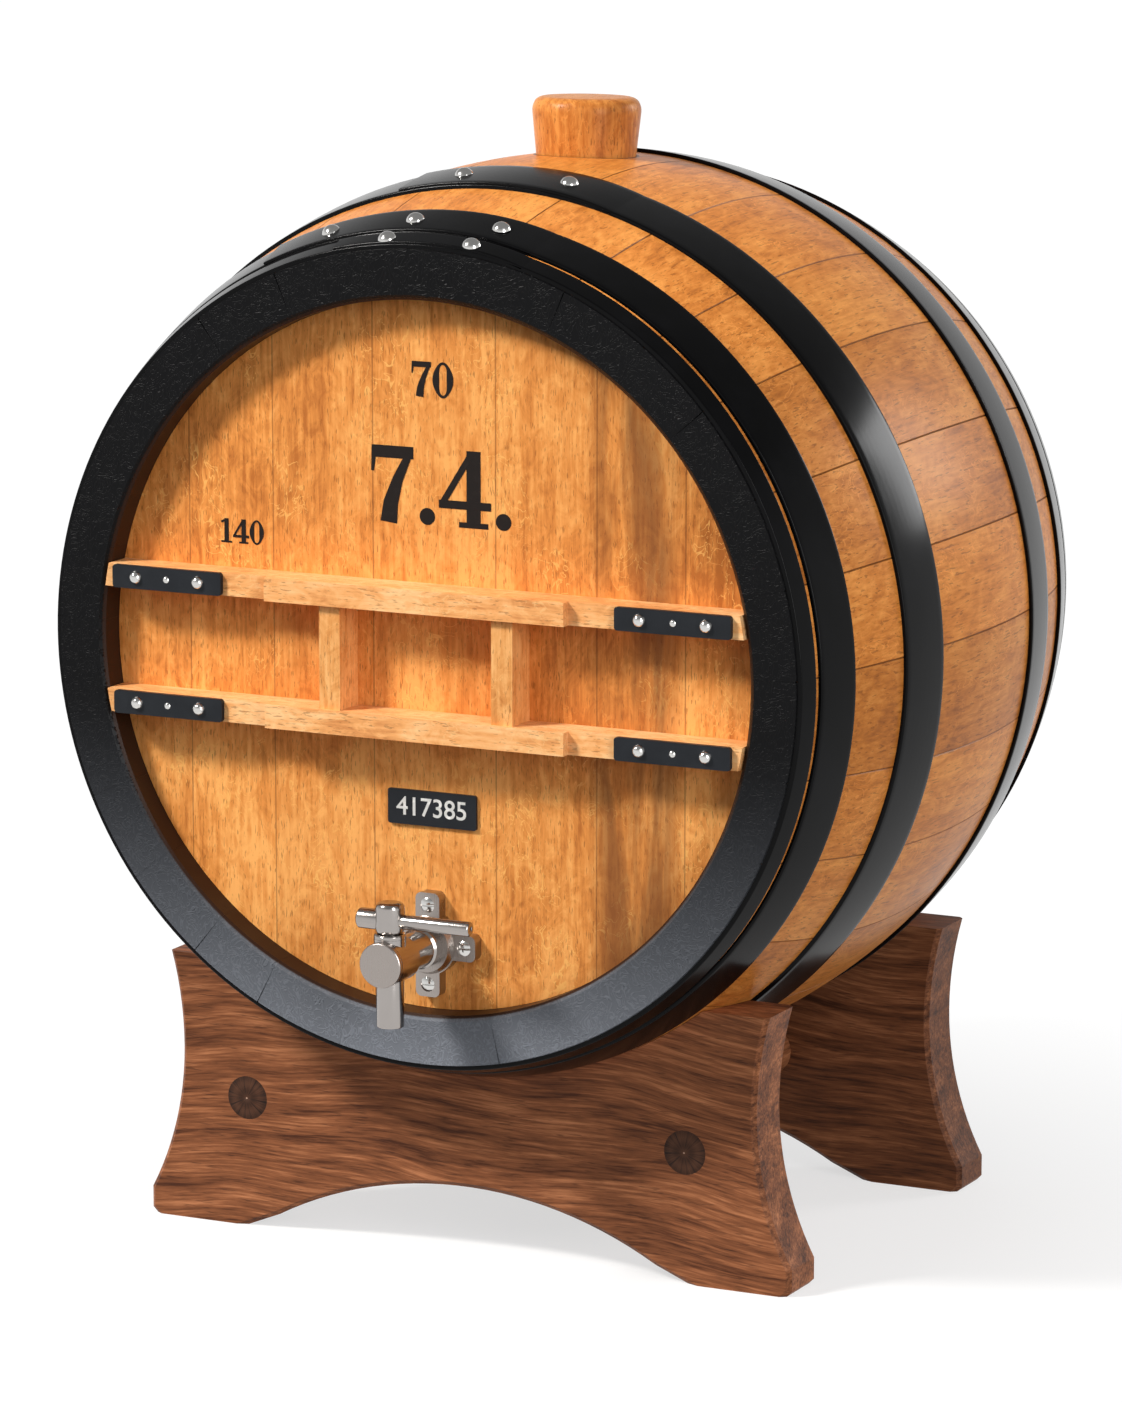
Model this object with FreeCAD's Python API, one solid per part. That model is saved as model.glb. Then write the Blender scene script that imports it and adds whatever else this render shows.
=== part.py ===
"""Oak cask liquor dispenser: a coopered cask with a shelf and a stainless tap, lying on a walnut cradle.

Millimetres, +Z up. The floor is z = 0, the cask's axis runs along Y and its front head faces -Y.
Places on the cask are given by y from the front chime plane, a radius, and an angle from the top,
clockwise as seen from the front. Each separate physical piece is written to its own STEP file.
"""
import FreeCAD
import Part
import math
import os

V = FreeCAD.Vector
X_DIR = V(1, 0, 0)
Y_DIR = V(0, 1, 0)
Z_DIR = V(0, 0, 1)

# Cask
cask_length = 325.0
bilge_radius = 220.5
chime_radius = 192.0
axis_height = 296.0
tap_reach = 40.0
stave_count = 26
bung_stave_angle = 20.0
stave_width_spread = 0.08
chime_wall = 21.0
chime_bevel = 2.5
bilge_wall = 20.0

# Heads
head_recess = 15.0
head_thickness = 14.0
head_radius = 168.5
croze_depth = 5.0
croze_slack = 0.15
head_edge_bevel = 3.0
head_joints_x = (-129.0, -84.0, -31.0, 33.0, 85.0, 130.0)

# Hoops: front and rear edge from the nearer chime plane
hoop_thickness = 2.0
lap_thickness = 1.2
chime_hoop_span = (1.0, 10.4)
quarter_hoop_span = (14.0, 36.8)
bilge_hoop_span = (75.5, 107.5)
rivet_head_radius = 4.4
rivet_head_height = 3.0
rivet_shank_radius = 2.0
rear_lap_angle = -65.0

# Bung
bung_offset = 16.0
bung_top_radius = 26.5
bung_surface_radius = 24.3
bung_stand_out = 27.0
bung_depth = 24.0
bung_rounding = 4.0
bung_slack = 0.3

# Shelf on the front head
slat_height = 11.0
upper_slat_bottom = 23.5
lower_slat_top = -26.0
slat_depth = 21.0
slat_end_depth = 16.0
slat_step_x = 78.0
slat_end_slack = 0.5
divider_thickness = 10.9
divider_inner_x = 39.5
divider_depth = 18.0
plate_inner_x = 102.5
plate_outer_x = 161.0
plate_thickness = 2.5
plate_corner = 1.6
nail_x = (115.0, 148.5)
nail_head_radius = 3.2
nail_head_height = 2.6
nail_shank_radius = 1.1
nail_length = 12.0
pin_x = 132.0
pin_head_radius = 1.7
pin_head_height = 0.9

# Number plate
number_plate_size = (46.4, 16.7, 1.5)
number_plate_z = -72.5
number_plate_corner = 1.2

# Tap: heights are from its own axis
tap_z = -136.5
flange_arm_length = 25.0
flange_arm_width = 12.5
flange_thickness = 6.5
flange_corner = 3.0
flange_hub_radius = 14.5
flange_boss_radius = 12.5
flange_boss_length = 3.5
flange_screw_offset = 19.0
screw_head_radius = 3.6
screw_shank_radius = 1.9
screw_length = 16.0
screw_dome_height = 1.1
screw_slot_width = 1.0
screw_slot_depth = 1.5
body_radius = 10.7
body_front_length = 19.5
body_tube_radius = 8.8
body_collar_radius = 9.8
body_collar_length = 6.0
shank_radius = 8.0
shank_inside = 5.0
body_bore_radius = 5.0
end_cap_thickness = 3.0
end_cap_spigot = 1.4
end_bore_radius = 7.0
plug_radius = 6.0
plug_bottom = -6.0
plug_top = 8.3
plug_port_radius = 3.6
running_slack = 0.05
stem_radius = 4.0
spout_radius = 6.5
spout_bore_radius = 4.7
spout_reach = 31.0
neck_radius = 7.6
neck_top = 11.2
bonnet_radius = 7.6
bonnet_top = 13.4
handle_head_radius = 6.9
handle_head_bottom = 13.6
handle_head_top = 28.2
handle_rod_z = 19.4
handle_rod_radius = 3.5
handle_rod_core_radius = 2.2
handle_rod_end_x = 42.0
handle_nut_radius = 4.9
handle_nut_end_x = -16.2
gasket_thickness = 1.5

# Cradle
board_front_y = 44.0
board_thickness = 30.0
board_foot_x = 171.5
board_waist_x = 153.0
board_waist_z = 86.0
board_top_x = 159.5
board_top_z = 133.0
board_toe_height = 13.0
board_foot_chamfer = 2.5
board_foot_inner_x = 118.0
arch_top_z = 33.0
arch_radius = 209.0
arch_end_x = 101.0
board_edge_rounding = 2.2
cradle_slack = 0.3
rail_x = 66.0
rail_z = 62.0
rail_radius = 13.0
tenon_radius = 10.0
tenon_length = 20.0
plug_x = 117.0
plug_z = 64.0
cover_plug_radius = 10.7
cover_plug_length = 16.0
cover_plug_crown = 0.8

# The whole thing is centred on its own box, whose front is the tap's end cap
front_y = tap_reach / 2 - cask_length / 2
rear_y = front_y + cask_length
middle_y = front_y + cask_length / 2
axis_point = V(0, middle_y, axis_height)
sag = bilge_radius - chime_radius
bend_radius = (cask_length ** 2 / 4 + sag ** 2) / (2 * sag)
head_front_y = front_y + head_recess
head_back_y = head_front_y + head_thickness


def at(y, r):
    """A point y behind the front chime plane and r from the axis, in the plane above the axis."""
    return V(0, front_y + y, axis_height + r)


def outer_radius(y, offset=0.0):
    """Radius of the cask's bulged outside at y: an arc through both chimes and the bilge."""
    run = y - cask_length / 2
    return bilge_radius - bend_radius + math.sqrt((bend_radius + offset) ** 2 - run ** 2)


def arc(a, b, c):
    return Part.Arc(a, b, c).toShape()


def line(a, b):
    return Part.LineSegment(a, b).toShape()


def closed_face(edges):
    return Part.Face(Part.Wire(Part.__sortEdges__(edges)))


def polygon_face(points):
    return Part.Face(Part.makePolygon(points + [points[0]]))


def turned(face, start=0.0, sweep=360.0):
    """A profile above the axis, turned about the cask's axis."""
    profile = face.copy()
    profile.rotate(axis_point, Y_DIR, start)
    return profile.revolve(axis_point, Y_DIR, sweep)


def lathe(points, base, direction):
    """A solid of revolution from (radius, height) points, along a direction from a base point."""
    face = polygon_face([V(r, 0, h) for r, h in points])
    return stood(face.revolve(V(0, 0, 0), Z_DIR, 360.0), base, direction)


def stood(shape, base, direction):
    """Moves a shape built on the origin along +Z so that it stands on base along direction."""
    out = shape.copy()
    out.Placement = FreeCAD.Placement(base, FreeCAD.Rotation(Z_DIR, direction)).multiply(out.Placement)
    return out


def rod(radius, start, end):
    """A plain round bar between two points."""
    return Part.makeCylinder(radius, (end - start).Length, start, end - start)


def block(low, high):
    size = high - low
    return Part.makeBox(size.x, size.y, size.z, low)


def group(solids):
    """Separate solids that share one node."""
    return Part.makeCompound(solids)


def mirrored(shape):
    """The same piece at the rear end of the cask or cradle."""
    return shape.mirror(V(0, middle_y, 0), Y_DIR)


def on_cask(shape, y, angle, lift=0.0):
    """Stands a shape on the cask's outside, square to the surface, lifted off it by lift."""
    slope = math.asin((cask_length / 2 - y) / bend_radius)
    radius = outer_radius(y)
    normal = V(0, -math.sin(slope), math.cos(slope))
    out = stood(shape, at(y, radius) + normal * lift, normal)
    out.rotate(axis_point, Y_DIR, angle)
    return out


def dome(radius, height):
    """A shallow dome as (radius, height) points of a quarter arc, closed on its axis."""
    ball = (radius ** 2 + height ** 2) / (2 * height)
    rim = V(radius, 0, 0)
    half = math.asin(radius / ball) / 2
    mid = V(ball * math.sin(half), 0, height - ball + ball * math.cos(half))
    top = V(0, 0, height)
    edges = [arc(rim, mid, top), line(top, V(0, 0, 0)), line(V(0, 0, 0), rim)]
    return closed_face(edges).revolve(V(0, 0, 0), Z_DIR, 360.0)


def domed_nail(head_radius, head_height, shank_radius, length):
    """A dome-headed nail standing on the origin with its shank below."""
    shank = Part.makeCylinder(shank_radius, length, V(0, 0, -length))
    return dome(head_radius, head_height).fuse(shank).removeSplitter()


def stave_face():
    """Lengthwise section of a stave: bulged back, bevelled chimes and a croze for each head."""
    half = cask_length / 2
    wall = chime_radius - chime_wall
    groove_front = head_recess + head_edge_bevel - croze_slack
    groove_back = head_recess + head_thickness - head_edge_bevel + croze_slack
    groove_radius = head_radius + croze_depth + croze_slack
    inner_end = head_recess + head_thickness + 4.0
    front = [
        (0.0, chime_radius),
        (0.0, wall),
        (chime_bevel, head_radius),
        (head_recess, head_radius),
        (groove_front, groove_radius),
        (groove_back, groove_radius),
        (head_recess + head_thickness, head_radius + 1.0),
        (inner_end, head_radius + 3.5),
    ]
    rear = [(cask_length - y, r) for y, r in reversed(front)]
    edges = []
    for run in (front, rear):
        for a, b in zip(run, run[1:]):
            edges.append(line(at(*a), at(*b)))
    edges.append(arc(at(0, chime_radius), at(half, bilge_radius), at(cask_length, chime_radius)))
    edges.append(arc(at(*front[-1]), at(half, bilge_radius - bilge_wall), at(*rear[0])))
    return closed_face(edges)


def stave_angles():
    """Start and sweep of every plain stave, clockwise from the bung stave, in uneven widths."""
    shares = [1 + stave_width_spread * math.sin(2.4 * n) for n in range(stave_count)]
    scale = (360.0 - bung_stave_angle) / sum(shares)
    start = bung_stave_angle / 2
    for share in shares:
        yield start, share * scale
        start += share * scale


def bung_cone(slack=0.0, top=bung_stand_out):
    """The bung's straight taper, from its inner end to a height above the cask."""
    taper = (bung_top_radius - bung_surface_radius) / bung_stand_out
    low = bung_surface_radius - taper * bung_depth + slack
    high = bung_surface_radius + taper * top + slack
    return Part.makeCone(low, high, bung_depth + top, V(0, 0, -bung_depth))


def bung():
    solid = bung_cone()
    top_edge = max(solid.Edges, key=lambda e: e.BoundBox.ZMin)
    solid = solid.makeFillet(bung_rounding, [top_edge])
    return on_cask(solid, cask_length / 2 + bung_offset, 0.0)


def staves():
    """All plain staves, and the wide one at the top that carries the bung hole."""
    face = stave_face()
    pieces = {}
    for number, (start, sweep) in enumerate(stave_angles(), 1):
        pieces[f"stave_{number:02d}"] = turned(face, start, sweep)
    hole = on_cask(bung_cone(bung_slack), cask_length / 2 + bung_offset, 0.0)
    pieces["bung_stave"] = turned(face, -bung_stave_angle / 2, bung_stave_angle).cut(hole)
    return pieces


def head_disc():
    """The front head's turned shape: flat faces and an edge bevelled to seat in the croze."""
    edge = head_radius + croze_depth
    back = head_recess + head_thickness
    points = [
        at(head_recess, 0),
        at(head_recess, head_radius - croze_slack),
        at(head_recess + head_edge_bevel, edge),
        at(back - head_edge_bevel, edge),
        at(back, head_radius - croze_slack),
        at(back, 0),
    ]
    return turned(polygon_face(points))


def split_in_boards(disc):
    """Cuts a head into its upright boards. The tap's hole falls in the middle one."""
    reach = head_radius + croze_depth + 1.0
    joints = (-reach, *head_joints_x, reach)
    box = disc.BoundBox
    boards = []
    for left, right in zip(joints, joints[1:]):
        low = V(left, box.YMin - 1, box.ZMin - 1)
        high = V(right, box.YMax + 1, box.ZMax + 1)
        boards.append(disc.common(block(low, high)).Solids[0])
    return boards


def heads():
    rear = group(split_in_boards(mirrored(head_disc())))
    bored = head_disc().cut(tap_axis_rod(shank_radius, head_front_y - 5, head_back_y + 5))
    for screw in flange_screw_shanks():
        bored = bored.cut(screw)
    return {"front_head": group(split_in_boards(bored)), "rear_head": rear}


def hoop_layer(span, lift, thickness, start, sweep):
    """A strip of hoop iron over a stretch of the cask, following its bulge."""
    front, back = span
    middle = (front + back) / 2
    low = [at(y, outer_radius(y, lift)) for y in (front, middle, back)]
    high = [at(y, outer_radius(y, lift + thickness)) for y in (front, middle, back)]
    edges = [arc(*low), arc(*high), line(low[0], high[0]), line(low[2], high[2])]
    return turned(closed_face(edges), start, sweep)


def hoop(span, lap, rivet_angles):
    """A closed hoop whose ends lap over each other between two angles, bored for its rivets."""
    start, end = lap
    ring = hoop_layer(span, 0.0, hoop_thickness, start, 360.0)
    band = ring.fuse(hoop_layer(span, hoop_thickness, lap_thickness, start, end - start))
    middle = sum(span) / 2
    for angle in rivet_angles:
        drill = Part.makeCylinder(rivet_shank_radius, 2 * (hoop_thickness + lap_thickness), V(0, 0, -1))
        band = band.cut(on_cask(drill, middle, angle))
    return band


def hoops():
    """Six hoops and the rivets through their laps. The rear laps are turned to the far side."""
    layout = {
        "chime_hoop": (chime_hoop_span, (-13.0, 16.0), (-5.1, 7.6)),
        "quarter_hoop": (quarter_hoop_span, (-26.0, 15.0), (-16.4, -3.7, 8.9)),
        "bilge_hoop": (bilge_hoop_span, (-13.0, 17.0), (-5.7, 8.9)),
    }
    grip = hoop_thickness + lap_thickness
    rivet = domed_nail(rivet_head_radius, rivet_head_height, rivet_shank_radius, grip)
    pieces = {}
    rivets = []
    for name, (span, lap, angles) in layout.items():
        rear_lap = tuple(angle + rear_lap_angle for angle in lap)
        rear_angles = [angle + rear_lap_angle for angle in angles]
        pieces["front_" + name] = hoop(span, lap, angles)
        pieces["rear_" + name] = mirrored(hoop(span, rear_lap, rear_angles))
        for angle in angles:
            rivets.append(on_cask(rivet, sum(span) / 2, angle, grip))
        for angle in rear_angles:
            rivets.append(mirrored(on_cask(rivet, sum(span) / 2, angle, grip)))
    pieces["hoop_rivets"] = group(rivets)
    return pieces


def slat(bottom):
    """A shelf slat: full depth in the middle, cut back at both ends where the plates go."""
    z = axis_height + bottom
    reach = head_radius + 5.0
    full_y = head_front_y - slat_depth
    end_y = head_front_y - slat_end_depth
    outline = [
        V(-reach, head_front_y, z),
        V(reach, head_front_y, z),
        V(reach, end_y, z),
        V(slat_step_x, end_y, z),
        V(slat_step_x, full_y, z),
        V(-slat_step_x, full_y, z),
        V(-slat_step_x, end_y, z),
        V(-reach, end_y, z),
    ]
    plank = polygon_face(outline).extrude(V(0, 0, slat_height))
    ring = rod(head_radius - slat_end_slack, V(0, full_y - 5, axis_height), V(0, head_front_y, axis_height))
    return plank.common(ring)


def end_plate(side, bottom):
    """A small steel plate across a slat's end, with rounded corners."""
    low_x, high_x = sorted((side * plate_inner_x, side * plate_outer_x))
    face_y = head_front_y - slat_end_depth
    low = V(low_x, face_y - plate_thickness, axis_height + bottom)
    high = V(high_x, face_y, axis_height + bottom + slat_height)
    plate = block(low, high)
    corners = [e for e in plate.Edges if abs(e.tangentAt(e.FirstParameter).y) > 0.9]
    return plate.makeFillet(plate_corner, corners)


def shelf():
    """Two slats, two dividers between them, and four nailed end plates."""
    slats = {"upper_shelf_slat": upper_slat_bottom, "lower_shelf_slat": lower_slat_top - slat_height}
    nail = domed_nail(nail_head_radius, nail_head_height, nail_shank_radius, nail_length)
    pin = domed_nail(pin_head_radius, pin_head_height, nail_shank_radius, nail_length)
    face_y = head_front_y - slat_end_depth - plate_thickness
    pieces = {}
    plates = []
    nails = []
    for name, bottom in slats.items():
        board = slat(bottom)
        z = axis_height + bottom + slat_height / 2
        for side in (-1, 1):
            plate = end_plate(side, bottom)
            for x, fastener in [(nail_x[0], nail), (pin_x, pin), (nail_x[1], nail)]:
                place = V(side * x, face_y, z)
                nails.append(stood(fastener, place, -Y_DIR))
                drill = rod(nail_shank_radius, place - Y_DIR, place + Y_DIR * nail_length)
                plate = plate.cut(drill)
                board = board.cut(drill)
            plates.append(plate)
        pieces[name] = board
    for name, side in [("left_divider", -1), ("right_divider", 1)]:
        low_x, high_x = sorted((side * divider_inner_x, side * (divider_inner_x + divider_thickness)))
        low = V(low_x, head_front_y - divider_depth, axis_height + lower_slat_top)
        high = V(high_x, head_front_y, axis_height + upper_slat_bottom)
        pieces[name] = block(low, high)
    pieces["shelf_plates"] = group(plates)
    pieces["plate_nails"] = group(nails)
    return pieces


def number_plate():
    """The small flat plate below the shelf, left bare."""
    width, height, thickness = number_plate_size
    z = axis_height + number_plate_z
    low = V(-width / 2, head_front_y - thickness, z - height / 2)
    plate = block(low, V(width / 2, head_front_y, z + height / 2))
    corners = [e for e in plate.Edges if abs(e.tangentAt(e.FirstParameter).y) > 0.9]
    return plate.makeFillet(number_plate_corner, corners)


def tap_point(y=0.0, x=0.0, z=0.0):
    """A point of the tap: y in the part's frame, x and z from the tap's own axis."""
    return V(x, y, axis_height + tap_z + z)


def tap_axis_rod(radius, start_y, end_y):
    return rod(radius, tap_point(start_y), tap_point(end_y))


def flange_screw_places():
    """Centre of each flange screw on the flange's back face: above, right, below and left."""
    for step in range(4):
        angle = math.radians(90 * step)
        x = flange_screw_offset * math.sin(angle)
        z = flange_screw_offset * math.cos(angle)
        yield tap_point(head_front_y, x, z)


def flange_screw_shanks():
    for place in flange_screw_places():
        front = place - Y_DIR * flange_thickness
        yield rod(screw_shank_radius, front, front + Y_DIR * screw_length)


def flange_screws():
    """Raised countersunk wood screws, seated in the flange."""
    sink = screw_head_radius - screw_shank_radius
    screws = []
    for place in flange_screw_places():
        front = place - Y_DIR * flange_thickness
        cone = Part.makeCone(screw_head_radius, screw_shank_radius, sink, front, Y_DIR)
        shank = rod(screw_shank_radius, front, front + Y_DIR * screw_length)
        head = stood(dome(screw_head_radius, screw_dome_height), front, -Y_DIR)
        half = screw_slot_width / 2
        slot_floor = screw_slot_depth - screw_dome_height
        slot_low = front + V(-screw_head_radius, -2 * screw_dome_height, -half)
        slot = block(slot_low, front + V(screw_head_radius, slot_floor, half))
        screws.append(cone.fuse([shank, head]).cut(slot).removeSplitter())
    return group(screws)


def flange():
    """A four-armed plate with a round hub and boss, bored for the tap's shank and its screws."""
    half = flange_arm_width / 2
    back = head_front_y
    front = head_front_y - flange_thickness
    arms = []
    for x, z in [(flange_arm_length, half), (half, flange_arm_length)]:
        arm = block(tap_point(front, -x, -z), tap_point(back, x, z))
        corners = [e for e in arm.Edges if abs(e.tangentAt(e.FirstParameter).y) > 0.9]
        arms.append(arm.makeFillet(flange_corner, corners))
    hub = tap_axis_rod(flange_hub_radius, front, back)
    boss = Part.makeCone(
        flange_boss_radius + 1.5, flange_boss_radius, flange_boss_length, tap_point(front), -Y_DIR
    )
    plate = arms[0].fuse([arms[1], hub, boss]).removeSplitter()
    plate = plate.cut(tap_axis_rod(shank_radius, front - 10, back + 1))
    plate = plate.cut(tap_axis_rod(flange_boss_radius, back - gasket_thickness, back + 1))
    sink = screw_head_radius - screw_shank_radius
    for place, shank in zip(flange_screw_places(), flange_screw_shanks()):
        face = place - Y_DIR * flange_thickness
        countersink = Part.makeCone(screw_head_radius, screw_shank_radius, sink, face, Y_DIR)
        plate = plate.cut(countersink).cut(shank)
    return plate


def tap_body():
    """Turned body: shank through the head, collar, tube and a fat front end, with its waterways."""
    cap_back = front_y - tap_reach + end_cap_thickness
    fat_back = cap_back + body_front_length
    boss_face = head_front_y - flange_thickness - flange_boss_length
    collar_front = boss_face - body_collar_length
    profile = [
        (0, cap_back),
        (body_radius, cap_back),
        (body_radius, fat_back - 2),
        (body_tube_radius, fat_back + 1),
        (body_tube_radius, collar_front - 1),
        (body_collar_radius, collar_front),
        (body_collar_radius, boss_face),
        (shank_radius, boss_face),
        (shank_radius, head_back_y + shank_inside),
        (0, head_back_y + shank_inside),
    ]
    solid = lathe([(r, y - cap_back) for r, y in profile], tap_point(cap_back), Y_DIR)
    neck = rod(neck_radius, tap_point(spindle_y), tap_point(spindle_y, 0, neck_top))
    solid = solid.fuse(neck).removeSplitter()
    solid = solid.cut(tap_axis_rod(body_bore_radius, spindle_y, head_back_y + 10))
    solid = solid.cut(tap_axis_rod(end_bore_radius, cap_back - 1, cap_back + end_cap_spigot))
    plug_bore = rod(plug_radius, tap_point(spindle_y, 0, plug_bottom), tap_point(spindle_y, 0, neck_top + 1))
    socket = rod(spout_radius, tap_point(spindle_y, 0, -15), tap_point(spindle_y, 0, plug_bottom))
    return solid.cut(plug_bore).cut(socket)


def end_cap():
    """The front cap: a disc with a chamfered rim and a short spigot that centres it in the body."""
    cap_back = front_y - tap_reach + end_cap_thickness
    rim = 0.6
    points = [
        (0, -end_cap_thickness),
        (body_radius - rim, -end_cap_thickness),
        (body_radius, -end_cap_thickness + rim),
        (body_radius, 0),
        (end_bore_radius, 0),
        (end_bore_radius, end_cap_spigot),
        (0, end_cap_spigot),
    ]
    return lathe(points, tap_point(cap_back), Y_DIR)


def gasket():
    """The flat rubber ring let into the flange's back."""
    ring = tap_axis_rod(flange_boss_radius, head_front_y - gasket_thickness, head_front_y)
    return ring.cut(tap_axis_rod(shank_radius, head_front_y - 5, head_front_y + 5))


def spout():
    """A straight tube pressed into the body below the plug."""
    top = tap_point(spindle_y, 0, plug_bottom)
    bottom = tap_point(spindle_y, 0, -spout_reach)
    bore = rod(spout_bore_radius, bottom - Z_DIR, top + Z_DIR)
    tube = rod(spout_radius, bottom, top)
    rim = [e for e in tube.Edges if e.BoundBox.ZMax < bottom.z + 0.1]
    return tube.makeChamfer(0.5, rim).cut(bore)


def bonnet():
    """The collar that keeps the plug down in the body."""
    points = [
        (stem_radius + running_slack, plug_top + running_slack),
        (plug_radius, plug_top + running_slack),
        (plug_radius, neck_top),
        (bonnet_radius, neck_top),
        (bonnet_radius, bonnet_top - 0.6),
        (bonnet_radius - 0.6, bonnet_top),
        (stem_radius + running_slack, bonnet_top),
    ]
    return lathe(points, tap_point(spindle_y), Z_DIR)


def plug():
    """The valve plug and its stem. Its port turns the way from the side down into the spout."""
    base = tap_point(spindle_y)
    radius = plug_radius - running_slack
    bottom = plug_bottom + 0.2
    stem_top = handle_head_top - 3.0
    solid = rod(radius, tap_point(spindle_y, 0, bottom), tap_point(spindle_y, 0, plug_top))
    solid = solid.fuse(rod(stem_radius, base, tap_point(spindle_y, 0, stem_top)))
    down = rod(plug_port_radius, tap_point(spindle_y, 0, bottom - 1), base)
    side = rod(plug_port_radius, base, tap_point(spindle_y, -plug_radius - 1))
    core = rod(
        handle_rod_core_radius,
        tap_point(spindle_y, -10, handle_rod_z),
        tap_point(spindle_y, 10, handle_rod_z),
    )
    return solid.cut(down).cut(side).cut(Part.makeSphere(plug_port_radius, base)).cut(core)


def handle_head():
    """The round knob on the stem that carries the cross rod."""
    points = [
        (0, handle_head_bottom),
        (handle_head_radius - 0.8, handle_head_bottom),
        (handle_head_radius, handle_head_bottom + 2.0),
        (handle_head_radius, handle_head_top - 2.2),
        (handle_head_radius - 0.7, handle_head_top - 0.7),
        (handle_head_radius - 2.2, handle_head_top),
        (0, handle_head_top),
    ]
    knob = lathe(points, tap_point(spindle_y), Z_DIR)
    stem = rod(stem_radius, tap_point(spindle_y), tap_point(spindle_y, 0, handle_head_top - 3.0))
    core = rod(
        handle_rod_core_radius,
        tap_point(spindle_y, -10, handle_rod_z),
        tap_point(spindle_y, 10, handle_rod_z),
    )
    return knob.cut(stem).cut(core)


def handle_rod():
    """The long arm of the handle, with a thin core through the knob and a dimple in its end."""
    start = math.sqrt(handle_head_radius ** 2 - handle_rod_radius ** 2)
    length = handle_rod_end_x - start
    points = [
        (0, 0),
        (handle_rod_radius, 0),
        (handle_rod_radius, length - 0.6),
        (handle_rod_radius - 0.6, length),
        (1.6, length),
        (0, length - 1.0),
    ]
    arm = lathe(points, tap_point(spindle_y, start, handle_rod_z), X_DIR)
    knob = rod(handle_head_radius, tap_point(spindle_y), tap_point(spindle_y, 0, handle_head_top))
    tip = tap_point(spindle_y, handle_nut_end_x + 2.0, handle_rod_z)
    core = rod(handle_rod_core_radius, tip, tap_point(spindle_y, start + 1.0, handle_rod_z))
    return arm.cut(knob).fuse(core).removeSplitter()


def handle_nut():
    """The short fat nut that holds the rod on the other side of the knob."""
    start = math.sqrt(handle_head_radius ** 2 - handle_nut_radius ** 2)
    length = -handle_nut_end_x - start
    points = [
        (0, 0),
        (handle_nut_radius, 0),
        (handle_nut_radius, length - 1.0),
        (handle_nut_radius - 1.0, length),
        (0, length),
    ]
    nut = lathe(points, tap_point(spindle_y, -start, handle_rod_z), -X_DIR)
    knob = rod(handle_head_radius, tap_point(spindle_y), tap_point(spindle_y, 0, handle_head_top))
    tip = tap_point(spindle_y, handle_nut_end_x + 2.0, handle_rod_z)
    core = rod(handle_rod_core_radius, tip, tap_point(spindle_y, 0, handle_rod_z))
    return nut.cut(knob).cut(core)


def tap():
    return {
        "tap_flange": flange(),
        "flange_screws": flange_screws(),
        "tap_gasket": gasket(),
        "tap_body": tap_body(),
        "tap_end_cap": end_cap(),
        "tap_spout": spout(),
        "tap_bonnet": bonnet(),
        "tap_plug": plug(),
        "handle_head": handle_head(),
        "handle_rod": handle_rod(),
        "handle_nut": handle_nut(),
    }


def board_side(sign):
    """One outer side of a cradle board: an upright toe, then two arcs that meet upright at the waist."""
    foot_run = board_foot_x - board_waist_x
    foot_rise = board_waist_z - board_toe_height
    foot_bend = (foot_run ** 2 + foot_rise ** 2) / (2 * foot_run)
    horn_run = board_top_x - board_waist_x
    horn_rise = board_top_z - board_waist_z
    horn_bend = (horn_run ** 2 + horn_rise ** 2) / (2 * horn_run)

    def side_point(z):
        bend = foot_bend if z < board_waist_z else horn_bend
        return V(sign * (board_waist_x + bend - math.sqrt(bend ** 2 - (z - board_waist_z) ** 2)), 0, z)

    heel = V(sign * board_foot_x, 0, board_foot_chamfer)
    low = [side_point(z) for z in (board_toe_height, (board_toe_height + board_waist_z) / 2, board_waist_z)]
    high = [side_point(z) for z in (board_waist_z, (board_waist_z + board_top_z) / 2, board_top_z)]
    return [line(heel, low[0]), arc(*low), arc(*high)], heel, high[2]


def cradle_board():
    """The front cradle board: horned outline, arched underside, bed cut to the cask's own bulge."""
    edges, left_foot, left_horn = board_side(-1)
    right_edges, right_foot, right_horn = board_side(1)
    arch_low = arch_top_z - arch_radius + math.sqrt(arch_radius ** 2 - arch_end_x ** 2)
    base_x = board_foot_x - board_foot_chamfer
    edges += right_edges
    edges.append(line(left_horn, right_horn))
    edges.append(arc(V(-arch_end_x, 0, arch_low), V(0, 0, arch_top_z), V(arch_end_x, 0, arch_low)))
    for sign, foot in [(-1, left_foot), (1, right_foot)]:
        edges.append(line(foot, V(sign * base_x, 0, 0)))
        edges.append(line(V(sign * base_x, 0, 0), V(sign * board_foot_inner_x, 0, 0)))
        edges.append(line(V(sign * board_foot_inner_x, 0, 0), V(sign * arch_end_x, 0, arch_low)))
    face = closed_face(edges)
    face.translate(V(0, front_y + board_front_y, 0))
    board = face.extrude(V(0, board_thickness, 0))
    outline = [e for e in board.Edges if abs(e.tangentAt(e.FirstParameter).y) < 0.1]
    soft = [e for e in outline if not (e.BoundBox.ZMin > board_top_z - 1 or e.BoundBox.ZMax < 1)]
    board = board.makeChamfer(board_edge_rounding, soft)
    board = board.cut(cask_room())
    back_y = front_y + board_front_y + board_thickness
    for sign in (-1, 1):
        mouth = V(sign * rail_x, back_y, rail_z)
        board = board.cut(rod(tenon_radius, mouth - Y_DIR * tenon_length, mouth + Y_DIR))
        face = V(sign * plug_x, front_y + board_front_y, plug_z)
        board = board.cut(rod(cover_plug_radius, face - Y_DIR, face + Y_DIR * cover_plug_length))
    return board


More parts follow.
